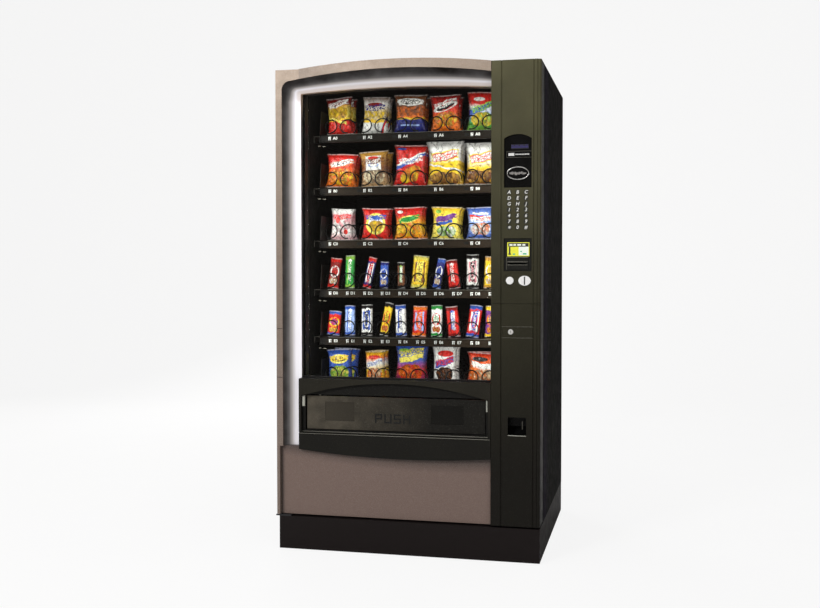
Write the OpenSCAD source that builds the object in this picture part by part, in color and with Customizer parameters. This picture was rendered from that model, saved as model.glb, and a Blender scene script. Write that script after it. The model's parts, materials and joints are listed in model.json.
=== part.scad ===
// Glass-front snack vending machine, upright, with a hinged door on the left.
// +Z is up, the front faces -Y and +X is the viewer's right.
// The origin is on the floor at the centre of the bounding box.
// All lengths are millimetres. Depths are counted backwards from the front plane.

/* [Overall] */
// Overall width, hinge bracket included
cabinet_width = 1000; // [900:1:1100]
// Overall depth from the door's face to the rear panel
cabinet_depth = 889; // [700:1:1000]
// Height of the cabinet and of the control column
cabinet_height = 1805; // [1600:1:1900]
// Height of the crown of the arched header
crown_height = 1828.8; // [1820:0.1:1900]
// Height of the base plinth
plinth_height = 126; // [80:1:160]

/* [Door] */
// Thickness of the door
door_depth = 100; // [80:1:120]
// Running gap between the door and the cabinet
door_gap = 3; // [2:0.5:6]
// Depth of the front trims
trim_depth = 38; // [30:1:45]
// Depth of the glass behind the front plane
glass_depth = 62; // [55:1:70]
// Left edge of the control column
column_left = 321.5; // [300:0.5:340]
// Left edge of the window
window_left = -408; // [-420:1:-390]
// Crown of the window's upper edge
window_top = 1733; // [1700:1:1760]
// Top of the delivery bezel, where the window starts
window_bottom = 650; // [620:1:680]
// Radius of the door's hinge pins
hinge_pin_radius = 5; // [4:0.5:7]

/* [Trays] */
// Product floor heights, from the top tray to the bottom one
tray_floors = [1583, 1379, 1174, 983, 797, 612];
// Left side of the trays
tray_left = -380; // [-388:1:-378]
// Width of the trays
tray_width = 699; // [690:1:705]
// Depth of a tray from its front flange to its rear plate
tray_depth = 593; // [500:1:600]
// Spiral centre above the tray's floor
spiral_rise = 34; // [33:0.5:38]
// Least centreline radius of a spiral
spiral_radius = 27; // [26:0.5:27]
// Turns in a spiral
spiral_turns = 10; // [10:1:12]
// Front turns drawn on the spirals that do not turn
short_turns = 2; // [1:1:12]
// Length of a spiral
spiral_length = 580; // [480:1:582]
// Radius of the spiral wire
wire_radius = 1.9; // [1.5:0.1:2.4]

/* [Keypad] */
// Radius of a key cap
key_radius = 8.4; // [7:0.1:9]
// Distance between key columns
key_pitch_x = 30.3; // [28:0.1:34]
// Distance between key rows
key_pitch_z = 20.83; // [20.4:0.01:24]
// Height of the top row of keys
key_top = 1334.9; // [1300:0.1:1340]
// Left column of keys
key_left = 386.3; // [382:0.1:390]

/* [Hidden] */
$fn = 96;
yf = -cabinet_depth / 2;
left = -494;
right = cabinet_width / 2;
column_pitch = tray_width / 10;
tray_front = 182;
clear = 0.4;
wire_step = 0.1; // each second half turn is this much thinner, so that the ends meet face to face
door_bottom = 133;
hinge_x = -482;
hinge_y = 52;
pin_gap = 0.08;
band_radius = 2430;
band_crown = 1796;
crown_radius = 2860;
window_radius = 5130;
arch_x = -43;

// A block given by its limits, with depths counted from the front plane.
module block(x0, x1, y0, y1, z0, z1) {
    translate([x0, y0 + yf, z0])
        cube([x1 - x0, y1 - y0, z1 - z0]);
}

// A front view outline (x, z) made solid from depth y0 to depth y1.
module plate(y0, y1) {
    translate([0, y1 + yf, 0])
        rotate([90, 0, 0])
            linear_extrude(height = y1 - y0)
                children();
}

// A side view outline (depth, z) made solid from x0 to x1.
module side_plate(x0, x1) {
    translate([x0, yf, 0])
        rotate([90, 0, 90])
            linear_extrude(height = x1 - x0)
                children();
}

// A round bar along the depth.
module bar(x, z, y0, y1, r) {
    translate([x, y0 + yf, z])
        rotate([-90, 0, 0])
            cylinder(r = r, h = y1 - y0);
}

// A flat rectangle in the front view.
module pane(x0, x1, z0, z1) {
    translate([x0, z0])
        square([x1 - x0, z1 - z0]);
}

// An ellipse in the front view.
module oval(x, z, a, b) {
    polygon([for (i = [0:59]) [x + a * cos(6 * i), z + b * sin(6 * i)]]);
}

// A large disc whose crown is at height z.
module crown(z, r) {
    translate([arch_x, z - r])
        circle(r = r, $fn = 256);
}

function band_z(x) = band_crown - band_radius + sqrt(pow(band_radius, 2) - pow(x - arch_x, 2));
function window_z(x) = window_top - window_radius + sqrt(pow(window_radius, 2) - pow(x - arch_x, 2));

// ---------- cabinet ----------

module cabinet_shell() {
    color("#262028")
        difference() {
            block(left, right, door_depth + door_gap, cabinet_depth, plinth_height, cabinet_height);
            block(-470, 476, door_depth, 865, 150, 1781);
            for (i = [0:7])
                block(-120 + 40 * i, -100 + 40 * i, 860, 890, 190, 290);
            bar(380, 220, 860, 890, 20);
        }
    color("#8c8c90") {
        block(470, 476, 50, 160, 800, 870);
        block(452, 476, 50, 55, 815, 860);
    }
}

module product_liner() {
    color("#151515") {
        difference() {
            block(-424, 334, 150, 830, 574, 1774);
            block(-412, 326, 149, 818, 573, 1762);
        }
        block(326, 334, 150, 865, 150, 574);
    }
}

module base_plinth() {
    color("#1b181b") {
        difference() {
            block(-486, right, 4, cabinet_depth - 6, 3, plinth_height);
            block(-483, right - 3, 7, cabinet_depth - 9, 0, plinth_height - 3);
        }
        for (x = [-440, 454], y = [60, 820])
            difference() {
                block(x - 43, x + 43, y - 53, y + 54, 34, 40);
                translate([x, y + yf, 33])
                    cylinder(r = 6.3, h = 10);
            }
    }
}

module leveling_feet() {
    color("#6b6b6e")
        for (x = [-440, 454], y = [60, 820])
            translate([x, y + yf, 0]) {
                cylinder(r = 26, h = 7);
                translate([0, 0, 6])
                    cylinder(r1 = 20, r2 = 10, h = 8);
                cylinder(r = 6, h = 70);
                translate([0, 0, 40])
                    cylinder(r = 10, h = 8, $fn = 6);
            }
}

module tray_rails() {
    rail_front = tray_front + 23;
    color("#8d8a80")
        for (z = tray_floors) {
            side_plate(-412, -373)
                polygon([[rail_front, z - 3.5], [800, z - 3.5], [800, z - 1.5], [rail_front, z - 1.5]]);
            block(-412, -409, rail_front, 800, z - 26, z - 3);
            side_plate(300, 326)
                polygon([[rail_front, z - 3.5], [800, z - 3.5], [800, z - 1.5], [rail_front, z - 1.5]]);
            block(323, 326, rail_front, 800, z - 26, z - 3);
        }
}

// One pressed steel tray with its sides, dividers and rear motor plate.
module tray(z, wide) {
    tray_back = tray_front + tray_depth;
    step = wide ? 2 : 1;
    color("#1d1d1c") {
        block(tray_left, tray_left + tray_width, tray_front, tray_back, z - 1.5, z);
        block(tray_left, tray_left + tray_width, tray_front, tray_front + 1, z - 30, z - 1);
        for (x = [tray_left, tray_left + tray_width - 1])
            side_plate(x, x + 1)
                polygon([[tray_front, z - 1], [tray_front + 5, z + 20], [tray_front + 18, z + 95],
                    [tray_back, z + 95], [tray_back, z - 1]]);
        for (i = [step : step : 9])
            side_plate(tray_left + i * column_pitch - 0.5, tray_left + i * column_pitch + 0.5)
                polygon([[tray_front + 53, z - 1], [tray_front + 78, z + 45], [tray_back, z + 45], [tray_back, z - 1]]);
        difference() {
            block(tray_left, tray_left + tray_width, tray_back - 1.5, tray_back, z - 1, z + 72);
            for (i = [0:9])
                bar(tray_left + (i + 0.5) * column_pitch, z + spiral_rise, tray_back - 3, tray_back + 2, 4);
        }
    }
}

module tray_a() {
    tray(tray_floors[0], true);
}

module tray_b() {
    tray(tray_floors[1], true);
}

module tray_c() {
    tray(tray_floors[2], true);
}

module tray_d() {
    tray(tray_floors[3], false);
}

module tray_e() {
    tray(tray_floors[4], false);
}

module tray_f() {
    tray(tray_floors[5], true);
}

// Label holders clipped to the front flanges of the trays.
module price_strips() {
    color("#141414")
        for (z = tray_floors)
            translate([0, tray_front, 0])
                side_plate(tray_left, tray_left + tray_width)
                    polygon([[0, z - 32], [0, z], [-5, z], [-8, z - 3], [-6.5, z - 4], [-5, z - 4],
                        [-6.5, z - 27], [-8, z - 27], [-9.5, z - 30], [-8, z - 32]]);
}

module spiral_motors() {
    tray_back = tray_front + tray_depth;
    color("#3a3a38")
        for (k = [0:5]) {
            wide = k != 3 && k != 4;
            z = tray_floors[k];
            for (i = [0 : wide ? 2 : 1 : 9]) {
                x0 = tray_left + i * column_pitch + 6;
                x1 = tray_left + (i + (wide ? 2 : 1)) * column_pitch - 6;
                difference() {
                    union() {
                        block(x0, x1, tray_back, tray_back + 22, z + 8, z + 62);
                        block(x0 + 8, x1 - 8, tray_back + 21, tray_back + 41, z + 14, z + 56);
                    }
                    for (j = [0 : wide ? 1 : 0])
                        bar(tray_left + (i + j + 0.5) * column_pitch, z + spiral_rise,
                            tray_back - 1, tray_back + 12, 2);
                }
            }
        }
}

module hinge_brackets() {
    color("#2b2b2d") {
        block(-500, -440, 4, 102.5, plinth_height, door_bottom - 2);
        translate([hinge_x, hinge_y + yf, plinth_height + 2])
            cylinder(r = hinge_pin_radius, h = 34);
        block(left, -440, 30, 180, cabinet_height + 1, cabinet_height + 5);
        block(left, -440, 108, 180, cabinet_height, cabinet_height + 2);
        translate([hinge_x, hinge_y + yf, cabinet_height - 30])
            cylinder(r = hinge_pin_radius, h = 33);
    }
}

// ---------- spirals ----------

// Half a turn of wire, tipped so that its ends lie a quarter pitch either side of its middle.
module half_turn(pitch, wire) {
    tip = atan(pitch / 4 / spiral_radius);
    rotate([0, tip, 0])
        rotate_extrude(angle = 180, $fn = 48)
            translate([spiral_radius / cos(tip), 0])
                circle(r = wire, $fn = 24);
}

// A spiral whose axis runs back from the tray's front, with its drive shank in the motor.
// Short ones carry only their front turns, ahead of a straight shank.
module spiral(k, i, hand, turns) {
    pitch = spiral_length / spiral_turns;
    end = turns * pitch;
    front = tray_front + tray_depth - 6 - spiral_length;
    translate([tray_left + (i + 0.5) * column_pitch, front + yf, tray_floors[k] + spiral_rise])
        rotate([-90, 0, 0])
            mirror([hand < 0 ? 1 : 0, 0, 0]) {
                for (t = [0 : 2 * turns - 1])
                    translate([0, 0, (t + 0.5) * pitch / 2])
                        rotate([0, 0, t % 2 == 0 ? 0 : 180])
                            half_turn(pitch, wire_radius - (t % 2) * wire_step);
                translate([0, 0, end]) {
                    translate([spiral_radius, 0, 0])
                        sphere(r = wire_radius + 0.5, $fn = 24);
                    rotate([0, 90, 0])
                        cylinder(r = wire_radius - 0.1, h = spiral_radius, $fn = 24);
                    translate([0, 0, -wire_radius])
                        cylinder(r = wire_radius, h = spiral_length - end + 18, $fn = 24);
                }
            }
}

module spiral_row(k, first) {
    color("#20201f")
        for (i = [first : 9])
            spiral(k, i, (k == 3 || k == 4 || i % 2 == 0) ? 1 : -1, short_turns);
}

module spirals_ab() {
    spiral_row(0, 2);
    spiral_row(1, 0);
}

module spirals_cf() {
    spiral_row(2, 0);
    spiral_row(5, 0);
}

module spirals_de() {
    spiral_row(3, 1);
    spiral_row(4, 0);
}

module spiral_a0_left() {
    color("#20201f")
        spiral(0, 0, 1, spiral_turns);
}

module spiral_a0_right() {
    color("#20201f")
        spiral(0, 1, -1, spiral_turns);
}

module spiral_d0() {
    color("#20201f")
        spiral(3, 0, 1, spiral_turns);
}

// ---------- door ----------

// Front view of the space that the cove fills, up to the arched band.
module cove_outline(grow) {
    translate([-436, 1730.2])
        circle(r = 34 + grow);
    pane(-470 - grow, column_left, 393 - grow, 1730.2);
    intersection() {
        crown(band_crown + grow, band_radius);
        pane(-436, column_left, 1000, 1900);
    }
}

module door_shell() {
    color("#232123")
        difference() {
            block(left, right, trim_depth, door_depth, door_bottom, cabinet_height);
            intersection() {
                plate(20, 120)
                    pane(-400, 315, window_bottom + 5, 1800);
                plate(20, 120)
                    crown(window_top, window_radius);
            }
            plate(30, glass_depth + 4)
                difference() {
                    cove_outline(0.2);
                    pane(-600, 400, 0, window_bottom + 5);
                }
            block(-470.2, -407, 30, glass_depth + 0.2, 392.5, 700);
            block(-416.6, column_left, glass_depth, glass_depth + 4, 605.6, 700);
            block(-393, 309, glass_depth, 120, 600, 700);
            block(-393, 309, 30, 120, 438, 602);
            block(330, 492, 36, 120, 143, 1795);
            block(-460, 309, trim_depth + 4, 120, 143, 430);
            translate([hinge_x, hinge_y + yf, 100])
                cylinder(r = hinge_pin_radius + pin_gap, h = 65);
            translate([hinge_x, hinge_y + yf, cabinet_height - 34])
                cylinder(r = hinge_pin_radius + pin_gap, h = 60);
        }
}

module left_stile() {
    color("#96897d")
        difference() {
            plate(0, trim_depth)
                difference() {
                    pane(left, -402.2, door_bottom, cabinet_height);
                    cove_outline(0);
                    pane(-483, 0, 0, 393.2);
                }
            block(-600, -400, -1, 0.8, 836, 838);
            block(-600, -400, -1, 0.8, 652, 654);
        }
}

module header_trim() {
    color("#96897d")
        plate(0, trim_depth)
            difference() {
                intersection() {
                    crown(crown_height, crown_radius);
                    pane(-402, column_left - clear, 1700, 1900);
                }
                crown(band_crown, band_radius);
            }
}

// Stations along the cove: outer point, then inner point, in the front view.
corner_steps = 8;
header_steps = 26;
inner_r = 4;
inner_z = window_z(window_left + inner_r) - inner_r;
stations = concat(
    [[-470 + clear, 393 + clear, window_left, 393 + clear]],
    [for (i = [0 : corner_steps]) let (a = 90 * i / corner_steps)
        [-436 - (34 - clear) * cos(a), 1730.2 + (34 - clear) * sin(a),
         window_left + inner_r - inner_r * cos(a), inner_z + inner_r * sin(a)]],
    [for (i = [1 : header_steps]) let (s = i / header_steps,
            xo = -436 + s * (column_left - clear + 436),
            xi = window_left + inner_r + s * (column_left - clear - window_left - inner_r))
        [xo, band_z(xo) - clear, xi, window_z(xi)]]);

// The cove falls steeply from the band and turns to face forward beside the glass.
cove_steps = 9;
function cove_ring(s) = concat(
    [for (k = [0 : cove_steps]) let (a = 90 * k / cove_steps, u = 1 - cos(a))
        [s[0] + (s[2] - s[0]) * u, yf + 4 + 36 * sin(a), s[1] + (s[3] - s[1]) * u]],
    [[s[2], yf + glass_depth, s[3]], [s[0], yf + glass_depth, s[1]]]);

module window_cove() {
    n = cove_steps + 3;
    m = len(stations);
    points = [for (s = stations) each cove_ring(s)];
    walls = [for (j = [0 : m - 2], k = [0 : n - 1])
        each [[j * n + k, j * n + (k + 1) % n, (j + 1) * n + k],
              [(j + 1) * n + k, j * n + (k + 1) % n, (j + 1) * n + (k + 1) % n]]];
    caps = [[for (k = [n - 1 : -1 : 0]) k], [for (k = [0 : n - 1]) (m - 1) * n + k]];
    color("#c9c6c4")
        polyhedron(points = points, faces = concat(walls, caps), convexity = 6);
}

module window_glass() {
    color([0.55, 0.6, 0.62, 0.3])
        block(-416, column_left - 0.5, glass_depth, glass_depth + 4, 606, 1742);
}

// The bezel's face, with its bowed lower edge.
module bezel_outline() {
    intersection() {
        pane(window_left + clear, column_left - clear, 340, window_bottom);
        translate([10, 359 + 3600])
            circle(r = 3600, $fn = 256);
    }
}

module delivery_bezel() {
    color("#24241f")
        difference() {
            plate(2, trim_depth)
                bezel_outline();
            plate(0, 16)
                intersection() {
                    pane(-398, 311, 449, 640);
                    translate([-43, 638 - 1210])
                        circle(r = 1210, $fn = 256);
                }
            block(-385, 302, 0, 60, 457, 590);
            block(-500, 400, 17.6, 60, 300, 393.2);
            translate([-391, 29 + yf, 581])
                rotate([0, 90, 0])
                    cylinder(r = 2.08, h = 699);
            plate(0, 7)
                pane(-500, 500, 444, 448);
        }
}

module lower_panel() {
    color("#786761")
        difference() {
            block(-483 + clear, column_left - clear, 18, trim_depth, door_bottom, 392.8);
            block(-460, 300, 22, 60, 145, 380);
        }
}

// Plan outline of the column's skin, in x and depth.
module column_skin() {
    x0 = column_left;
    translate([0, yf])
        difference() {
            polygon([[x0, trim_depth], [x0, 3.5], [x0 + 1.5, 2], [356.5, 2], [357.5, 5], [361, 5], [362, 2],
                [472.5, 2], [473.5, 4.5], [475.5, 4.5], [476.5, 2], [486.5, 2], [488, 5], [495, 5.5],
                [498.5, 7.5], [right, 12], [right, trim_depth]]);
            polygon([[x0 + 4, trim_depth + 1], [x0 + 4, 9], [492, 9], [right - 4, 14],
                [right - 4, trim_depth + 1]]);
        }
}

module column_upper() {
    color("#3f3f33")
        difference() {
            union() {
                translate([0, 0, 937.6])
                    linear_extrude(height = cabinet_height - 937.6)
                        column_skin();
                block(322, 499, 9, trim_depth, cabinet_height - 5, cabinet_height);
                block(322, 499, 9, trim_depth, 937.6, 942);
                block(364, 470, 8, 18, 1348, 1546);
                block(364, 474, 8, 14, 985, 1052);
            }
            plate(-1, 12)
                union() {
                    pane(367.6, 466.7, 1351.7, 1526.6);
                    intersection() {
                        pane(367.6, 466.7, 1520, 1545);
                        translate([417.15, 1541.8 - 88.5])
                            circle(r = 88.5);
                    }
                }
            block(367.4, 467.5, 0, 60, 1053.6, 1171.1);
            plate(0, 4)
                union() {
                    pane(396, 442, 990, 1048.4);
                    translate([396.2, 1019.2])
                        circle(r = 29.2);
                    translate([441.6, 1019.2])
                        circle(r = 29.2);
                }
            bar(389.7, 1020, 0, 60, 13.9);
            block(436, 449, 0, 60, 1004, 1035);
            for (c = [0:2], r = [0:6])
                bar(key_left + c * key_pitch_x, key_top - r * key_pitch_z, 0, 20, key_radius + 0.25);
            for (c = [0:2], r = [0:6])
                bar(key_left + c * key_pitch_x, key_top - r * key_pitch_z, 6, 30, 10.3);
        }
}

module column_lower() {
    color("#2b2a25")
        difference() {
            union() {
                translate([0, 0, door_bottom])
                    linear_extrude(height = 936.4 - door_bottom)
                        column_skin();
                block(322, 499, 9, trim_depth, door_bottom, door_bottom + 5);
                block(322, 499, 9, trim_depth, 932, 936.4);
                bar(393.4, 836, 8, trim_depth, 15);
            }
            block(363, 471.5, 0, 3.4, 814, 855);
            bar(393.4, 836, 0, 60, 9.48);
            block(383.5, 450, 0, 60, 460.7, 528.4);
        }
}

module display_panel() {
    color("#10100f") {
        difference() {
            union() {
                block(367.9, 466.4, 9.5, 12, 1352, 1526.4);
                plate(9.5, 12)
                    intersection() {
                        pane(367.9, 466.4, 1520, 1545);
                        translate([417.15, 1541.5 - 88.5])
                            circle(r = 88.5);
                    }
            }
            block(391, 456, 8, 10.5, 1488.5, 1507);
        }
        difference() {
            block(376.6, 465.5, 8, 10, 1458, 1482);
            block(378.2, 463.9, 7, 8.8, 1459.6, 1480.4);
        }
        difference() {
            plate(6.5, 10)
                oval(417.2, 1403, 40.8, 24.3);
            plate(5, 8)
                oval(417.2, 1403, 36.8, 20.3);
        }
    }
}

module note_validator() {
    color("#1a1a18")
        difference() {
            union() {
                block(367.6, 467.3, 7, 14, 1053.8, 1170.9);
                block(372, 462, 13, 146, 1058, 1166);
                block(376.7, 455, 4, 8, 1058.3, 1103.6);
                block(379.4, 459.7, 6.2, 8, 1106.4, 1157);
            }
            block(382, 449.5, 0, 60, 1078, 1084);
            block(380, 451.5, 0, 5.5, 1088, 1099);
        }
}

module coin_insert() {
    color("#e8e8e6")
        difference() {
            union() {
                plate(1.4, 4)
                    oval(442.7, 1019.7, 22, 17.5);
                block(436.3, 448.7, 3, 76, 1004.3, 1034.7);
            }
            block(441.2, 444.2, 0, 80, 1006.5, 1032.5);
        }
}

module coin_cup() {
    color("#1d1c1a")
        difference() {
            union() {
                block(379, 454, 9, 66, 456, 533);
                block(383.9, 449.6, 1, 12, 461, 463.6);
            }
            difference() {
                block(383.9, 449.6, 0, 62, 463.6, 528);
                translate([380, 62 + yf, 463])
                    rotate([0, 90, 0])
                        cylinder(r = 26, h = 80, $fn = 4);
            }
        }
}

module delivery_bin() {
    color("#151515")
        difference() {
            block(-392, 308, trim_depth, 238, 440, 572);
            block(-389, 305, trim_depth - 1, 235, 446, 580);
            side_plate(-389, 305)
                polygon([[37, 443], [120, 443], [200, 446.5], [37, 446.5]]);
            translate([-393, 230 + yf, 566])
                rotate([0, 90, 0])
                    cylinder(r = 3.08, h = 702);
        }
}

// ---------- moving parts on the door ----------

// One raised stroke of the flap's word.
module stroke(x0, x1, z0, z1) {
    block(x0, x1, 23.2, 24.6, z0, z1);
}

module push_flap() {
    color("#25251f") {
        difference() {
            union() {
                block(-381, 298, 24, 28, 459, 584);
                block(-381, 298, 24, 34, 578, 584);
                block(-381, 298, 24, 34, 459, 463);
                block(-381, -377, 24, 34, 459, 584);
                block(294, 298, 24, 34, 459, 584);
                translate([-390, 29 + yf, 581])
                    rotate([0, 90, 0])
                        cylinder(r = 2, h = 697);
            }
            block(-310, -196, 22, 25.6, 491, 563);
            block(97, 219, 22, 25.6, 489, 560);
        }
        stroke(-116, -110, 488, 523);
        stroke(-116, -88, 517, 523);
        stroke(-116, -88, 502, 508);
        stroke(-94, -88, 502, 523);
        stroke(-80, -74, 488, 523);
        stroke(-80, -52, 488, 494);
        stroke(-58, -52, 488, 523);
        stroke(-44, -16, 517, 523);
        stroke(-44, -38, 502, 523);
        stroke(-44, -16, 502, 508);
        stroke(-22, -16, 488, 508);
        stroke(-44, -16, 488, 494);
        stroke(-8, -2, 488, 523);
        stroke(14, 20, 488, 523);
        stroke(-8, 20, 502, 508);
    }
}

module baffle_flap() {
    color("#1b1b1b") {
        block(-386, 302, 229, 231.5, 470, 566);
        block(-386, 302, 224, 231.5, 470, 473);
        translate([-391, 230 + yf, 566])
            rotate([0, 90, 0])
                cylinder(r = 3, h = 698);
    }
}

module coin_return_button() {
    color("#e8e8e6") {
        bar(389.7, 1020, 1.6, 20, 13.6);
        bar(389.7, 1020, 0.8, 2, 11.5);
        bar(389.7, 1020, 14.4, 17, 16.5);
    }
}

module lock_cylinder() {
    color("#a9a9ac")
        difference() {
            union() {
                bar(393.4, 836, 1, 72, 9.4);
                bar(393.4, 836, 0.4, 2, 7.5);
            }
            block(392.6, 394.2, -1, 8, 831, 841);
        }
}

module latch_cam() {
    color("#8c8c90")
        difference() {
            union() {
                block(385.4, 401.4, 60, 65, 762, 836);
                bar(393.4, 836, 60, 65, 16);
            }
            bar(393.4, 836, 50, 70, 9.4);
        }
}

// A key cap with a retaining flange behind the fascia.
module key(c, r) {
    x = key_left + c * key_pitch_x;
    z = key_top - r * key_pitch_z;
    color("#33322c") {
        bar(x, z, 1, 7, key_radius);
        bar(x, z, 0.4, 2, key_radius - 1.2);
        bar(x, z, 6.2, 8.2, 9.8);
    }
}

module key_a() {
    key(0, 0);
}

module key_b() {
    key(1, 0);
}

module key_c() {
    key(2, 0);
}

module key_d() {
    key(0, 1);
}

module key_e() {
    key(1, 1);
}

module key_f() {
    key(2, 1);
}

module key_g() {
    key(0, 2);
}

module key_h() {
    key(1, 2);
}

module key_j() {
    key(2, 2);
}

module key_1() {
    key(0, 3);
}

module key_2() {
    key(1, 3);
}

module key_3() {
    key(2, 3);
}

module key_4() {
    key(0, 4);
}

module key_5() {
    key(1, 4);
}

module key_6() {
    key(2, 4);
}

module key_7() {
    key(0, 5);
}

module key_8() {
    key(1, 5);
}

module key_9() {
    key(2, 5);
}

module key_star() {
    key(0, 6);
}

module key_0() {
    key(1, 6);
}

module key_hash() {
    key(2, 6);
}

cabinet_shell();
product_liner();
base_plinth();
leveling_feet();
tray_rails();
tray_a();
tray_b();
tray_c();
tray_d();
tray_e();
tray_f();
price_strips();
spiral_motors();
hinge_brackets();
spirals_ab();
spirals_cf();
spirals_de();
spiral_a0_left();
spiral_a0_right();
spiral_d0();
door_shell();
left_stile();
header_trim();
window_cove();
window_glass();
delivery_bezel();
lower_panel();
column_upper();
column_lower();
display_panel();
note_validator();
coin_insert();
coin_cup();
delivery_bin();
push_flap();
baffle_flap();
coin_return_button();
lock_cylinder();
latch_cam();
key_a();
key_b();
key_c();
key_d();
key_e();
key_f();
key_g();
key_h();
key_j();
key_1();
key_2();
key_3();
key_4();
key_5();
key_6();
key_7();
key_8();
key_9();
key_star();
key_0();
key_hash();
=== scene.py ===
import bpy
import json
import math
import random
from mathutils import Matrix, Vector, noise

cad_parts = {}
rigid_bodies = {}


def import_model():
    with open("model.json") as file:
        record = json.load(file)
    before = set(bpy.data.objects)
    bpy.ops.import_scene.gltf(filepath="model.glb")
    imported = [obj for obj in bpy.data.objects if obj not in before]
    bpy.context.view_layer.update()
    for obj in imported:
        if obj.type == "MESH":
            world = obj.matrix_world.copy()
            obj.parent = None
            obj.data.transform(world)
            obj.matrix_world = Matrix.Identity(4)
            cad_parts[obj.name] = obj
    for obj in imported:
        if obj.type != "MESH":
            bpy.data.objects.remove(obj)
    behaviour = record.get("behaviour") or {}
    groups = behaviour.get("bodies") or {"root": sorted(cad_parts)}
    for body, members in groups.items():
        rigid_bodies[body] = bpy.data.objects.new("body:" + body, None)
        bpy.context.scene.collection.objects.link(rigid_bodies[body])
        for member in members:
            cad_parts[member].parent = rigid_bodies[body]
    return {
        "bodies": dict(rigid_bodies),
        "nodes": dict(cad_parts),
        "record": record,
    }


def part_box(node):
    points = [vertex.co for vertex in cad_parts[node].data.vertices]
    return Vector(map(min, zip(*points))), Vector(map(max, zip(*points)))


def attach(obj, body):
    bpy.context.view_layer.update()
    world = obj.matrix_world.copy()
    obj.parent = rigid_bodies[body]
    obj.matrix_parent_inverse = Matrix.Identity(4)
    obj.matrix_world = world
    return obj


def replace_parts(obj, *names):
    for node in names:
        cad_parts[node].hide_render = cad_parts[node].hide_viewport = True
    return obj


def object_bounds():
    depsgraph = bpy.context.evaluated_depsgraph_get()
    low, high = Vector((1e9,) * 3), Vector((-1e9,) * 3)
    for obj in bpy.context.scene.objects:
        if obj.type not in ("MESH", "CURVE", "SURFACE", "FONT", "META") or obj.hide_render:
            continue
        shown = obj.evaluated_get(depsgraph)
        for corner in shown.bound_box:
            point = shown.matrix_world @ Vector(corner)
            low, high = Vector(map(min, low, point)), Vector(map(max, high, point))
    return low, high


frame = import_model()
CAD_BOX = [[float(v) for v in c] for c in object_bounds()]
FRONT = CAD_BOX[0][1]
MM = 0.001
NODES = frame["nodes"]


def at(x, d, z):
    """A point from millimetres: right of centre, behind the front plane, above the floor."""
    return Vector((x * MM, FRONT + d * MM, z * MM))


def limits(node):
    """A node's box as x, depth and height limits in millimetres."""
    lo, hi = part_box(node)
    return (lo[0] / MM, hi[0] / MM, (lo[1] - FRONT) / MM, (hi[1] - FRONT) / MM, lo[2] / MM, hi[2] / MM)


# ---------------------------------------------------------------- materials

class Nodes:
    """Short calls for building one material's node tree."""

    def __init__(self, name):
        self.mat = bpy.data.materials.new(name)
        self.mat.use_nodes = True
        self.tree = self.mat.node_tree
        self.tree.nodes.clear()
        self.out = self.tree.nodes.new("ShaderNodeOutputMaterial")

    def add(self, kind, props=None, **inputs):
        n = self.tree.nodes.new("ShaderNode" + kind)
        for k, v in (props or {}).items():
            setattr(n, k, v)
        for k, v in inputs.items():
            self.set(n, k, v)
        return n

    def set(self, n, key, value):
        key = int(key[1:]) if key[0] == "i" and key[1:].isdigit() else key.replace("_", " ")
        socket = n.inputs[key]
        if isinstance(value, bpy.types.NodeSocket):
            self.tree.links.new(value, socket)
        elif isinstance(value, (tuple, list)) and len(value) == 3 and socket.type == "RGBA":
            socket.default_value = (*value, 1.0)
        else:
            socket.default_value = value

    def math(self, op, a, b=0.0, clamp=False):
        return self.add("Math", {"operation": op, "use_clamp": clamp}, i0=a, i1=b).outputs[0]

    def mix(self, fac, a, b):
        n = self.add("Mix", {"data_type": "RGBA"})
        self.set(n, "i0", fac)
        self.set(n, "i6", a)
        self.set(n, "i7", b)
        return n.outputs[2]

    def span(self, value, lo, hi, to_lo=0.0, to_hi=1.0):
        return self.add("MapRange", {"clamp": True}, i0=value, i1=lo, i2=hi, i3=to_lo, i4=to_hi).outputs[0]

    def coords(self, which="Object"):
        return self.add("TexCoord").outputs[which]

    def axis(self, vec, k):
        return self.add("SeparateXYZ", None, Vector=vec).outputs[k]

    def noise(self, vec, scale, detail=3.0, rough=0.55):
        return self.add("TexNoise", None, Vector=vec, Scale=scale, Detail=detail, Roughness=rough).outputs[0]

    def bump(self, height, strength, distance, normal=None):
        n = self.add("Bump", None, Height=height, Strength=strength, Distance=distance)
        if normal is not None:
            self.set(n, "Normal", normal)
        return n.outputs[0]

    def finish(self, **inputs):
        n = self.add("BsdfPrincipled", None, **inputs)
        self.tree.links.new(n.outputs[0], self.out.inputs[0])
        return self.mat


def shades(color, lo, hi):
    """A darker and a lighter version of a colour."""
    return tuple(c * lo for c in color), tuple(min(1, c * hi) for c in color)


def paint(name, color, rough=0.4, metallic=0.0, flake=0.0, peel=0.12, low=None, spec=0.5, tint=None):
    """Sprayed paint: orange peel, faint mottling, metal flakes and a tone that may change with height."""
    m = Nodes(name)
    co = m.coords()
    mottle = m.noise(co, 120.0, 5.0, 0.7)
    base = m.mix(m.span(mottle, 0.3, 0.7), *shades(color, 0.93, 1.07))
    if low:
        z = m.axis(co, 2)
        base = m.mix(m.span(z, 0.3, 1.75), low, base)
    if tint:
        base = tint(m, co, base)
    if flake:
        spark = m.add("TexVoronoi", {"feature": "F1"}, Vector=co, Scale=1400.0).outputs[1]
        grey = m.axis(spark, 0)
        base = m.mix(m.math("MULTIPLY", m.span(grey, 0.75, 1.0), flake), base, (0.95, 0.92, 0.88))
    fine = m.noise(co, 700.0, 2.0)
    rub = m.noise(co, 35.0, 5.0)
    r = m.span(rub, 0.3, 0.75, rough * 0.85, rough * 1.15)
    return m.finish(Base_Color=base, Roughness=r, Metallic=metallic, Specular_IOR_Level=spec,
                    Normal=m.bump(fine, peel, 0.0004))


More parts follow.
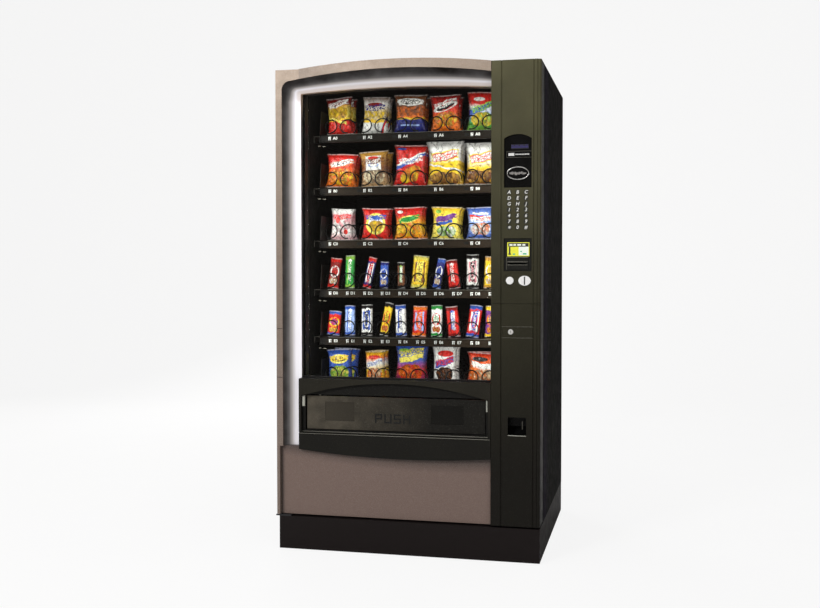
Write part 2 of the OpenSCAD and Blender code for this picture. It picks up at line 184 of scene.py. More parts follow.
def grained(name, color, rough=0.55, grain=900.0, depth=0.35, low=None, dust=0.06, spec=0.3, tint=None):
    """Moulded plastic with a leather-like etched grain."""
    m = Nodes(name)
    co = m.coords()
    cells = m.add("TexVoronoi", {"feature": "SMOOTH_F1"}, Vector=co, Scale=grain).outputs[0]
    soft = m.noise(co, grain * 0.45, 3.0)
    height = m.math("ADD", m.math("MULTIPLY", cells, 0.6), m.math("MULTIPLY", soft, 0.7))
    tone = m.noise(co, 6.0, 4.0)
    base = m.mix(m.span(tone, 0.3, 0.7), *shades(color, 0.82, 1.15))
    if low:
        z = m.axis(co, 2)
        base = m.mix(m.math("POWER", m.span(z, 0.3, 1.8), 1.6), low, base)
    if tint:
        base = tint(m, co, base)
    speck = m.span(m.noise(co, 260.0, 5.0, 0.7), 0.56, 0.75)
    base = m.mix(m.math("MULTIPLY", speck, dust), base, (0.55, 0.54, 0.48))
    r = m.span(m.noise(co, 40.0, 4.0), 0.3, 0.7, rough - 0.07, rough + 0.08)
    return m.finish(Base_Color=base, Roughness=r, Specular_IOR_Level=spec,
                    Normal=m.bump(height, depth, 0.0006))


def metal(name, color, rough=0.3, stretch=(1, 1, 40), wear=0.15):
    """Plated or brushed metal with fine lines along one axis."""
    m = Nodes(name)
    co = m.coords()
    mapped = m.add("Mapping", None, Vector=co, Scale=stretch).outputs[0]
    lines = m.noise(mapped, 60.0, 4.0)
    base = m.mix(m.span(lines, 0.3, 0.7), tuple(c * (1 - wear) for c in color), color)
    r = m.span(lines, 0.25, 0.75, rough * 0.8, rough * 1.25)
    return m.finish(Base_Color=base, Roughness=r, Metallic=1.0, Normal=m.bump(lines, 0.08, 0.0003))


def gloss(name, color, rough=0.2, tint=0.03, spec=0.5):
    """Smooth moulded plastic with faint flow marks and fine scratches."""
    m = Nodes(name)
    co = m.coords()
    flow = m.noise(co, 22.0, 4.0)
    base = m.mix(m.span(flow, 0.3, 0.7), tuple(max(0, c - tint) for c in color),
                 tuple(min(1, c + tint) for c in color))
    r = m.span(m.noise(co, 180.0, 5.0), 0.35, 0.7, rough * 0.8, rough * 1.4)
    return m.finish(Base_Color=base, Roughness=r, Specular_IOR_Level=spec,
                    Normal=m.bump(m.noise(co, 400.0, 2.0), 0.05, 0.0002))


def glow(name, color, power):
    """Light from a display, also used as a painted glow on print, with a fine mottle."""
    m = Nodes(name)
    flick = m.noise(m.coords(), 500.0)
    c = m.mix(m.span(flick, 0.3, 0.7), tuple(v * 0.8 for v in color), color)
    return m.finish(Base_Color=c, Emission_Color=c, Emission_Strength=power, Roughness=0.4)


def clear_glass(name):
    """Clear sheet glass with faint smears."""
    m = Nodes(name)
    smear = m.noise(m.coords(), 5.0, 5.0)
    clear = m.add("BsdfTransparent", None, Color=(0.97, 0.985, 0.98)).outputs[0]
    slick = m.span(smear, 0.3, 0.7, 0.01, 0.05)
    shine = m.add("BsdfGlossy", None, Color=(1, 1, 1), Roughness=slick).outputs[0]
    edge = m.add("Fresnel", None, IOR=1.35).outputs[0]
    both = m.add("MixShader", None, i0=m.math("MULTIPLY", edge, 0.55), i1=clear, i2=shine)
    m.tree.links.new(both.outputs[0], m.out.inputs[0])
    return m.mat


def cove_silver():
    """Satin silver, painted with shade towards the deep outer fold of the cove and on the arch overhead."""
    m = Nodes("cove_silver")
    co = m.coords()
    y = m.axis(co, 1)
    z = m.axis(co, 2)
    # painted shade across the cove: dark at its outer fold, bright at its inner edge, reaching further in on
    # the arch
    deep = m.span(y, FRONT + 0.004, FRONT + 0.038)
    deep = m.math("POWER", deep, m.span(z, 1.69, 1.75, 1.15, 3.0))
    ramp = m.add("ValToRGB", None, Fac=deep)
    els = ramp.color_ramp.elements
    els[0].position, els[0].color = 0.0, (0.05, 0.038, 0.03, 1)
    els[1].position, els[1].color = 1.0, (0.97, 0.95, 1.0, 1)
    for pos, tone in ((0.4, 0.05), (0.66, 0.13), (0.84, 0.5)):
        e = els.new(pos)
        e.color = (tone, tone * 0.93, tone * 0.9, 1)
    inner = m.span(m.math("SUBTRACT", y, m.span(z, 1.66, 1.70, 0.0, -0.0025)), FRONT + 0.0405, FRONT + 0.0435)
    # painted shade on the arch overhead, darkest at its outer fold
    fold = m.math("MULTIPLY", m.span(z, 1.66, 1.72, 0.0, 0.85), m.span(deep, 0.7, 0.25))
    base = m.mix(m.span(z, 1.69, 1.75, 0.0, 0.16), ramp.outputs[0], (0.02, 0.016, 0.013))
    base = m.mix(fold, base, (0.008, 0.006, 0.005))
    lip = m.mix(m.span(z, 1.62, 1.70), (0.02, 0.014, 0.012), (0.38, 0.27, 0.19))
    base = m.mix(inner, base, lip)
    tone = m.noise(co, 12.0, 4.0)
    base = m.mix(m.span(tone, 0.3, 0.7, 0.0, 0.12), base, (0.6, 0.58, 0.6))
    fine = m.noise(co, 800.0, 2.0)
    # a faint painted glow on the cove's bright inner part, fading out on the arch
    painted_glow = m.math("MULTIPLY", m.span(deep, 0.8, 1.0), m.span(z, 1.69, 1.75, 0.2, 0.0))
    return m.finish(Base_Color=base, Roughness=0.42, Metallic=m.span(deep, 0.3, 1.0, 0.0, 0.15),
                    Specular_IOR_Level=m.span(deep, 0.2, 1.0, 0.04, 0.5), Normal=m.bump(fine, 0.06, 0.0003),
                    Emission_Color=base, Emission_Strength=painted_glow)


def stile_tone(m, co, base):
    """The arched header is a shade deeper where it meets the stile."""
    x = m.axis(co, 0)
    shade = m.math("MULTIPLY", m.span(x, -0.4025, -0.4015), m.span(x, -0.40, -0.20, 0.42, 0.06))
    return m.mix(shade, base, (0.10, 0.08, 0.07))


def panel_shade(m, co, base):
    """Painted shadow: soft dark edges on the panel under the bowed bezel and beside the stile."""
    sep = m.add("SeparateXYZ", None, Vector=co)
    u = m.math("SUBTRACT", sep.outputs[0], 0.12)
    bow = m.math("ADD", m.math("MULTIPLY", m.math("MULTIPLY", u, u), 0.125), 0.3585)
    under = m.span(m.math("SUBTRACT", bow, sep.outputs[2]), -0.002, 0.045, 0.8, 0.0)
    side = m.span(sep.outputs[0], -0.478, -0.468, 0.7, 0.0)
    return m.mix(m.math("MAXIMUM", under, side), base, (0.022, 0.016, 0.016))


def side_sheen(m, co, base):
    """Painted shade: the right side darker than the rest; a painted violet sheen by the door gap; a greyer
    back.
    """
    x, y = m.add("SeparateXYZ", None, Vector=co).outputs[0:2]
    # every face but the right side is painted lighter: the right side keeps its painted shade
    base = m.mix(m.span(x, 0.485, 0.475), base, (0.0125, 0.0118, 0.0112))
    base = m.mix(m.span(y, CAD_BOX[1][1] - 0.004, CAD_BOX[1][1] - 0.001), base, (0.040, 0.039, 0.037))
    # a faint painted violet sheen on the right side, beside the door gap
    band = m.math("MULTIPLY", m.span(y, FRONT + 0.10, FRONT + 0.16), m.span(y, FRONT + 0.30, FRONT + 0.2))
    return m.mix(m.math("MULTIPLY", band, m.span(x, 0.485, 0.495, 0.0, 0.5)), base, (0.016, 0.010, 0.030))


def strip_painted_shade(m, co, base):
    """Painted shade on the label strips: they fade into the dark at their left end and towards the top shelf.
    """
    sep = m.add("SeparateXYZ", None, Vector=co)
    base = m.mix(m.span(sep.outputs[2], 1.40, 1.52, 0.0, 0.7), base, (0.004, 0.003, 0.002))
    return m.mix(m.span(sep.outputs[0], -0.362, -0.330, 1.0, 0.0), base, (0.002, 0.0015, 0.001))


def recess_tone(m, co, base):
    """The bezel's recess lies in shadow."""
    y = m.axis(co, 1)
    z = m.axis(co, 2)
    deep = m.span(y, FRONT + 0.0045, FRONT + 0.012, 0.0, 0.8)
    dark = m.math("MAXIMUM", deep, m.span(z, 0.60, 0.46, 0.0, 0.62))
    return m.mix(dark, base, (0.002, 0.002, 0.002))


def flap_painted_light(m, co, base):
    """Painted light towards the flap's left end, where its coarse grain catches the light, broken up by
    noise.
    """
    x = m.axis(co, 0)
    cloud = m.noise(co, 14.0, 4.0, 0.6)
    near = m.math("MULTIPLY", m.span(x, 0.1, -0.36), m.span(cloud, 0.3, 0.65, 0.45, 1.0))
    return m.mix(m.math("MULTIPLY", near, 0.7), base, (0.150, 0.128, 0.094))


def recess_painted_light(m, co, base):
    """The sunken panels carry a little of the same painted light towards the left."""
    x = m.axis(co, 0)
    return m.mix(m.span(x, 0.1, -0.36, 0.0, 0.34), base, (0.150, 0.128, 0.094))


TAUPE = (0.325, 0.250, 0.190)
M = {
    "cabinet_paint": paint("cabinet_paint", (0.0034, 0.0028, 0.0024), 0.6, peel=0.3, spec=0.010,
                           tint=side_sheen),
    "interior_black": paint("interior_black", (0.005, 0.0045, 0.004), 0.6, peel=0.3, spec=0.15),
    "plinth_black": paint("plinth_black", (0.0105, 0.0074, 0.0072), 0.55, peel=0.35, spec=0.14),
    "zinc": metal("zinc", (0.55, 0.54, 0.5), 0.35),
    "tray_black": paint("tray_black", (0.008, 0.0075, 0.006), 0.42, spec=0.25),
    "strip_black": grained("strip_black", (0.019, 0.0125, 0.0075), 0.5, 1200.0, 0.12, dust=0.02, spec=0.08,
                           tint=strip_painted_shade),
    "motor_plastic": grained("motor_plastic", (0.03, 0.03, 0.03)),
    "bracket_steel": paint("bracket_steel", (0.02, 0.02, 0.022), 0.45, spec=0.3),
    "spiral_wire": gloss("spiral_wire", (0.003, 0.003, 0.003), 0.35, 0.001, spec=0.2),
    "door_paint": paint("door_paint", (0.010, 0.009, 0.009), 0.5, spec=0.2),
    "trim_metallic": paint("trim_metallic", TAUPE, 0.45, 0.3, 0.2, 0.1, low=(0.215, 0.162, 0.135),
                           tint=stile_tone),
    "cove_silver": cove_silver(),
    "glass": clear_glass("glass"),
    "bezel_plastic": grained("bezel_plastic", (0.017, 0.0150, 0.0098), 0.5, 700.0, 0.35, spec=0.17,
                             tint=recess_tone),
    "panel_taupe": paint("panel_taupe", (0.188, 0.128, 0.106), 0.5, 0.2, 0.12, 0.12, tint=panel_shade),
    # painted shade: the column darkens towards the bottom, its top lighter where the light falls
    "column_plastic": grained("column_plastic", (0.098, 0.092, 0.046), 0.52, 620.0, 0.4,
                              low=(0.0066, 0.0055, 0.0035), spec=0.16),
    "display_black": gloss("display_black", (0.004, 0.004, 0.004), 0.15, 0.002, spec=0.25),
    "validator_plastic": grained("validator_plastic", (0.010, 0.010, 0.008), 0.4, 900.0, 0.2, spec=0.2),
    "white_plastic": gloss("white_plastic", (0.95, 0.95, 0.94), 0.28, 0.02),
    "cup_plastic": gloss("cup_plastic", (0.004, 0.004, 0.004), 0.3, 0.002, spec=0.15),
    "flap_plastic": grained("flap_plastic", (0.0068, 0.0060, 0.0040), 0.45, 420.0, 0.6, dust=0.10, spec=0.2,
                            tint=flap_painted_light),
    "lock_chrome": gloss("lock_chrome", (0.66, 0.65, 0.63), 0.2, 0.08),
    "key_plastic": grained("key_plastic", (0.022, 0.022, 0.016), 0.45, 1500.0, 0.2),
}
LIGHT_GREY = gloss("pale_bearing", (0.46, 0.46, 0.40), 0.3)
STEEL_LINE = metal("steel_line", (0.36, 0.35, 0.30), 0.3, (40, 1, 1))
TAG_WHITE = gloss("tag_white", (0.80, 0.80, 0.78), 0.4)
INK_WHITE = gloss("ink_white", (0.86, 0.86, 0.82), 0.5)
INK_DARK = gloss("ink_dark", (0.03, 0.03, 0.03), 0.5, 0.01)
RING_SILVER = metal("ring_silver", (0.72, 0.71, 0.69), 0.25, (1, 1, 1))
VFD_BLUE = glow("vfd_blue", (0.035, 0.025, 0.18), 0.2)
EDGE_GREY = gloss("edge_grey", (0.075, 0.07, 0.055), 0.35, 0.02)
RAIL_GREY = gloss("rail_grey", (0.20, 0.19, 0.15), 0.35, 0.03)
SEAM_DARK = gloss("seam_dark", (0.03, 0.024, 0.022), 0.6, 0.01, spec=0.1)
RAIL_DARK = metal("rail_dark", (0.09, 0.085, 0.075), 0.45)
MARK_GREY = gloss("mark_grey", (0.46, 0.43, 0.41), 0.4, 0.05)

slot_of = {s["node"]: s["material_slot"] for s in frame["record"]["subparts"]}
for node, obj in NODES.items():
    obj.data.materials.clear()
    obj.data.materials.append(RAIL_DARK if node == "tray_rails" else M[slot_of[node]])


def soften(node, width, segments=3, angle=35):
    """Rounds a CAD node's sharp edges with a bevel."""
    o = NODES[node]
    for p in o.data.polygons:
        p.use_smooth = True
    b = o.modifiers.new("edge_round", "BEVEL")
    b.width = width * MM
    b.segments = segments
    b.limit_method = "ANGLE"
    b.angle_limit = math.radians(angle)
    b.harden_normals = True
    b.use_clamp_overlap = True


def smooth(node, angle=28):
    """Smooth shading on a CAD node's curved faces, with its real edges kept sharp."""
    me = NODES[node].data
    for p in me.polygons:
        p.use_smooth = True
    me.set_sharp_from_angle(angle=math.radians(angle))


# ---------------------------------------------------------------- mesh tools

class Batch:
    """Collects pieces of mesh into one object."""

    def __init__(self):
        self.verts, self.faces, self.uvs, self.ids = [], [], [], []

    def add(self, verts, faces, uvs=None, mat=0):
        base = len(self.verts)
        self.verts += [tuple(v) for v in verts]
        self.faces += [tuple(base + i for i in f) for f in faces]
        self.uvs += uvs or [(0.0, 0.0)] * len(verts)
        self.ids += [mat] * len(faces)

    def build(self, name, mats, body, shade=True, sharp=None):
        me = bpy.data.meshes.new(name)
        me.from_pydata(self.verts, [], self.faces)
        for m in mats:
            me.materials.append(m)
        me.polygons.foreach_set("material_index", self.ids)
        me.polygons.foreach_set("use_smooth", [shade] * len(self.faces))
        layer = me.uv_layers.new(name="UVMap")
        for loop in me.loops:
            layer.data[loop.index].uv = self.uvs[loop.vertex_index]
        me.validate()
        me.update()
        if sharp:
            me.set_sharp_from_angle(angle=math.radians(sharp))
        o = bpy.data.objects.new(name, me)
        bpy.context.scene.collection.objects.link(o)
        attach(o, body)
        return o


def tube(points, r, sides=8, closed=False):
    """A round wire through points, with its frame carried along so that it doesn't twist."""
    verts, faces = [], []
    n = len(points)
    tangent = (points[1] - points[0]).normalized()
    side = tangent.orthogonal().normalized()
    for i, p in enumerate(points):
        a = points[(i - 1) % n] if closed or i > 0 else p
        b = points[(i + 1) % n] if closed or i < n - 1 else p
        t = (b - a).normalized()
        side = (side - t * side.dot(t)).normalized()
        up = t.cross(side)
        for k in range(sides):
            w = 2 * math.pi * k / sides
            verts.append(p + side * (r * math.cos(w)) + up * (r * math.sin(w)))
    for i in range(n if closed else n - 1):
        a, b = i * sides, (i + 1) % n * sides
        for k in range(sides):
            j = (k + 1) % sides
            faces.append((a + k, a + j, b + j, b + k))
    if not closed:
        faces.append(tuple(range(sides - 1, -1, -1)))
        faces.append(tuple((n - 1) * sides + k for k in range(sides)))
    return verts, faces


def rounded_block(x0, x1, d0, d1, z0, z1, c=0.6):
    """A box with chamfered edges on its front face, in millimetres."""
    front = ((x0 + c, z0 + c), (x1 - c, z0 + c), (x1 - c, z1 - c), (x0 + c, z1 - c))
    verts = [at(x, d0, z) for x, z in front]
    for d in (d0 + c, d1):
        verts += [at(x, d, z) for x, z in ((x0, z0), (x1, z0), (x1, z1), (x0, z1))]
    faces = [(0, 1, 2, 3), (11, 10, 9, 8)]
    for s in (0, 4):
        faces += [(s + 4 + k, s + 4 + (k + 1) % 4, s + (k + 1) % 4, s + k) for k in range(4)]
    return verts, faces


def text_mesh(body, size, x, d, z, thick=0.15, shear=0.0, bold=0.0):
    """Generic characters as mesh, centred at x, z and facing the front."""
    cu = bpy.data.curves.new("t", "FONT")
    cu.body = body
    cu.size = size * MM
    cu.extrude = thick * MM
    cu.offset = bold * MM
    cu.align_x = "CENTER"
    cu.align_y = "CENTER"
    cu.shear = shear
    cu.resolution_u = 3
    o = bpy.data.objects.new("t", cu)
    bpy.context.scene.collection.objects.link(o)
    dep = bpy.context.evaluated_depsgraph_get()
    me = bpy.data.meshes.new_from_object(o.evaluated_get(dep))
    turn = Matrix.Translation(at(x, d, z)) @ Matrix.Rotation(math.pi / 2, 4, "X")
    verts = [turn @ v.co for v in me.vertices]
    faces = [tuple(p.vertices) for p in me.polygons]
    bpy.data.objects.remove(o)
    bpy.data.meshes.remove(me)
    return verts, faces


# ---------------------------------------------------------------- spirals

TRAY_L, TRAY_R = limits("tray_a")[:2]
STEP = (TRAY_R - TRAY_L) / 10
BOX_A0 = limits("spiral_a0_left")
COIL_R, WIRE = 27.6, 2.5
COIL_FRONT, COIL_BACK = BOX_A0[2] + 1.9, BOX_A0[3]
COIL_TURNS = 10
COIL_PITCH = 58.0
TRAYS = "abcdef"
FLOOR = {t: limits("tray_" + t)[5] - 95 for t in TRAYS}
RISE = 34.0
CANDY = "de"
PACK_AT, PACK_THICK = 50, 42
BAR_AT, BAR_THICK, WIDE_BAR_THICK = 47, 19, 28
PACKS_DEEP = 2


def coil_points(i, tray, hand):
    """A spiral's centre line with its shank, for column i of a tray; hand is +1 or -1."""
    cx = TRAY_L + (i + 0.5) * STEP
    cz = FLOOR[tray] + RISE
    per = 26
    pts = []
    for k in range(COIL_TURNS * per + 1):
        a = -math.pi / 2 - 0.25 * hand + hand * 2 * math.pi * k / per
        pts.append(at(cx + COIL_R * math.cos(a), COIL_FRONT + COIL_PITCH * k / per,
                      cz + COIL_R * math.sin(a)))
    end = COIL_FRONT + COIL_PITCH * COIL_TURNS
    a = -math.pi / 2 - 0.25 * hand
    for f in (0.75, 0.5, 0.25):
        pts.append(at(cx + COIL_R * f * math.cos(a), end + 1.5, cz + COIL_R * f * math.sin(a)))
    pts += [at(cx, end + 3, cz), at(cx, end + 8, cz), at(cx, COIL_BACK, cz)]
    return pts


def hand_of(tray, i):
    return 1 if tray in CANDY or i % 2 == 0 else -1


MOVING = {("a", 0): "spiral_a0_left", ("a", 1): "spiral_a0_right", ("d", 0): "spiral_d0"}
for (tray, i), node in MOVING.items():
    b = Batch()
    b.add(*tube(coil_points(i, tray, hand_of(tray, i)), WIRE * MM, 8))
    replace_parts(b.build(node + "_wire", [M["spiral_wire"]], node), node)
for pair in ("ab", "cf", "de"):
    b = Batch()
    for tray in pair:
        for i in range(10):
            if (tray, i) not in MOVING:
                b.add(*tube(coil_points(i, tray, hand_of(tray, i)), WIRE * MM, 6))
    node = "spirals_" + pair
    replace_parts(b.build(node + "_wire", [M["spiral_wire"]], "cabinet"), node)


# ---------------------------------------------------------------- snack packs

# printing inks, by the short names that the packs below use
C = dict(R=(0.62, 0.018, 0.012), DR=(0.22, 0.008, 0.006), O=(0.80, 0.16, 0.012),
         Y=(0.87, 0.56, 0.02), LY=(0.85, 0.72, 0.12), W=(0.82, 0.80, 0.76),
         N=(0.015, 0.02, 0.16), B=(0.03, 0.09, 0.42), LB=(0.30, 0.42, 0.75),
         G=(0.02, 0.27, 0.04), LG=(0.25, 0.50, 0.06), K=(0.012, 0.01, 0.01),
         BR=(0.17, 0.055, 0.018), T=(0.58, 0.36, 0.17), P=(0.72, 0.28, 0.32),
         V=(0.14, 0.03, 0.22), GO=(0.60, 0.30, 0.045), C=(0.80, 0.66, 0.42))
# how strongly each tray's packs glow: painted light in place of the lamps beside them, least on the top tray,
# in painted shade
PACK_GLOW = {"a": 0.12, "b": 0.26, "c": 0.46, "d": 0.46, "e": 0.60, "f": 0.38}


def film(name, stops, layers, shine, foil=0.1):
    """Printed wrapper film: colour bands from bottom to top, then simple printed shapes.
    shine is the share of its colour that it emits, which stands in for the machine's own lamps.
    A layer is (kind, u, v, half width, half height, degrees, colour[, second colour, scale])."""
    m = Nodes(name)
    uv = m.coords("UV")
    warp = m.add("TexNoise", None, Vector=uv, Scale=3.5, Detail=2.0)
    shift = m.add("VectorMath", {"operation": "SUBTRACT"}, i0=warp.outputs[1], i1=(0.5, 0.5, 0.5)).outputs[0]
    shift = m.add("VectorMath", {"operation": "SCALE"}, i0=shift, Scale=0.16).outputs[0]
    bent = m.add("VectorMath", {"operation": "ADD"}, i0=uv, i1=shift).outputs[0]
    v = m.axis(bent, 1)
    ramp = m.add("ValToRGB", None, Fac=v)
    els = ramp.color_ramp.elements
    els[0].position, els[0].color = stops[0][0], (*C[stops[0][1]], 1)
    els[1].position, els[1].color = stops[-1][0], (*C[stops[-1][1]], 1)
    for pos, c in stops[1:-1]:
        els.new(pos).color = (*C[c], 1)
    base = ramp.outputs[0]
    for kind, cu, cv, ru, rv, deg, color, *more in layers:
        src = uv if kind in ("oval", "box", "ring") else bent
        local = m.add("Mapping", {"vector_type": "TEXTURE"}, Vector=src, Location=(cu, cv, 0),
                      Rotation=(0, 0, math.radians(deg)), Scale=(ru, rv, 1)).outputs[0]
        if kind in ("box", "slash", "chips", "marks"):
            ab = m.add("VectorMath", {"operation": "ABSOLUTE"}, i0=local).outputs[0]
            sep = m.add("SeparateXYZ", None, Vector=ab)
            d = m.math("MAXIMUM", sep.outputs[0], sep.outputs[1])
        else:
            flat = m.add("VectorMath", {"operation": "MULTIPLY"}, i0=local, i1=(1, 1, 0)).outputs[0]
            d = m.add("VectorMath", {"operation": "LENGTH"}, i0=flat).outputs[1]
        mask = m.span(d, 1.04, 0.96)
        if kind == "ring":
            mask = m.math("MULTIPLY", mask, m.span(d, 0.72, 0.8))
        paint_c = C[color]
        if kind in ("chips", "food"):
            scale = 1.7 * more[1]
            cell = m.add("TexVoronoi", {"feature": "F1"}, Vector=bent, Scale=scale)
            pick = m.axis(cell.outputs[1], 0)
            shade = m.span(cell.outputs[0], 0.0, 0.75, 1.1, 0.35)
            paint_c = m.mix(m.span(pick, 0.2, 0.8), C[color], C[more[0]])
            paint_c = m.mix(m.math("SUBTRACT", 1.0, shade, True), paint_c, tuple(c * 0.25 for c in C[color]))
        if kind == "marks":
            wide = more[0] if more else 3.2
            strokes = m.add("Mapping", None, Vector=local, Scale=(wide, 1.1, 1)).outputs[0]
            cell = m.add("TexVoronoi", {"feature": "DISTANCE_TO_EDGE"}, Vector=strokes, Scale=1.3)
            mask = m.math("MULTIPLY", mask, m.span(cell.outputs[0], 0.05, 0.11))
        base = m.mix(mask, base, paint_c)
    across, along = m.add("SeparateXYZ", None, Vector=uv).outputs[0:2]
    ends = m.math("ADD", m.span(along, 0.035, 0.03), m.span(along, 0.965, 0.97), True)
    base = m.mix(m.math("MULTIPLY", ends, 0.55), base, (0.75, 0.73, 0.70))
    teeth = m.math("SINE", m.math("MULTIPLY", across, 260.0))
    crimp = m.bump(m.math("MULTIPLY", teeth, ends), 0.35, 0.0008)
    creases = m.noise(bent, 9.0, 5.0, 0.6)
    # painted shade along the film's creases
    fold = m.math("ABSOLUTE", m.math("SUBTRACT", m.noise(bent, 4.5, 2.0, 0.5), 0.5))
    base = m.mix(m.span(fold, 0.0, 0.035, 0.66, 0.0), base, (0.02, 0.015, 0.012))
    # painted shade towards the pack's two sides, where the film turns away
    rim = m.math("ABSOLUTE", m.math("SUBTRACT", across, 0.5))
    base = m.mix(m.span(rim, 0.36, 0.5, 0.0, 0.62), base, (0.02, 0.012, 0.01))
    facet = m.add("TexVoronoi", {"feature": "DISTANCE_TO_EDGE"}, Vector=bent, Scale=5.5).outputs[0]
    crimp = m.bump(m.span(facet, 0.0, 0.2), 0.35, 0.004, crimp)
    rough = m.span(m.noise(uv, 5.0, 4.0), 0.3, 0.7, 0.14, 0.34)
    return m.finish(Base_Color=base, Roughness=rough, Metallic=foil, Coat_Weight=0.15, Coat_Roughness=0.12,
                    Specular_IOR_Level=0.35, Emission_Color=base, Emission_Strength=shine,
                    Normal=m.bump(creases, 0.6, 0.008, crimp))


def pillow(w, h, t, rng, waist=0.06, nu=18, nv=34, flat=0.34):
    """A filled pillow pack standing on its lower seal: a closed loft with flat seals, puckers and creases."""
    ph = [rng.uniform(0, 6.28) for _ in range(10)]
    seed = Vector((rng.uniform(0, 50), rng.uniform(0, 50), 0))
    verts, faces, uvs = [], [], []
    ring = 2 * nu
    seal = 0.045
    for j in range(nv + 1):
        v = j / nv
        inner = min(1.0, max(0.0, (v - seal) / (1 - 2 * seal)))
        body = math.sin(math.pi * inner) ** flat if 0 < inner < 1 else 0.0
        half = w / 2 * (1 - waist * math.sin(math.pi * v) ** 0.7) * (1 + 0.012 * math.sin(9 * v + ph[0]))
        near = math.exp(-min(v, 1 - v) / 0.13)
        for i in range(ring):
            side = 1 if i <= nu else -1
            s = -1 + 2 * i / nu if i <= nu else 3 - 2 * i / nu
            bulge = max(0.0, 1 - abs(s) ** 4.5) ** 0.45
            d = t / 2 * body * bulge + 0.35
            pucker = sum(math.sin(s * f + p + 0.8 * side) for f, p in ((7, ph[1]), (12, ph[2]), (19, ph[3])))
            d += 1.1 * near * body ** 0.4 * bulge * pucker if body else 0.0
            crease = noise.noise(Vector((s * 2.2 + side, v * 3.0, side * 0.5)) + seed)
            fold = abs(noise.noise(Vector((s * 3.6 + 4, v * 4.5, side)) + seed))
            d += body * bulge * (4.4 * crease - 4.6 * fold)
            wave = 0.9 * math.sin(5 * s + ph[4]) * (1 - body)
            x = half * s * (1 - 0.03 * body)
            z = v * h + (1.2 * math.sin(4 * s + ph[5]) * (1 - v) * 0.3
                         + 1.5 * math.sin(3 * s + ph[6]) * v * 0.5)
            verts.append(Vector((x, -side * max(0.3, d) + wave, z)) * MM)
            uvs.append(((s + 1) / 2, v))
    for j in range(nv):
        for i in range(ring):
            k = (i + 1) % ring
            faces.append((j * ring + i, j * ring + k, (j + 1) * ring + k, (j + 1) * ring + i))
    for j, flip in ((0, True), (nv, False)):
        for i in range(nu):
            q = [j * ring + k for k in (i, i + 1, (ring - i - 1) % ring, (ring - i) % ring)]
            if len(set(q)) == 4:
                faces.append(tuple(q[::-1]) if flip else tuple(q))
            else:
                tri = list(dict.fromkeys(q))
                faces.append(tuple(tri[::-1]) if flip else tuple(tri))
    return verts, faces, uvs


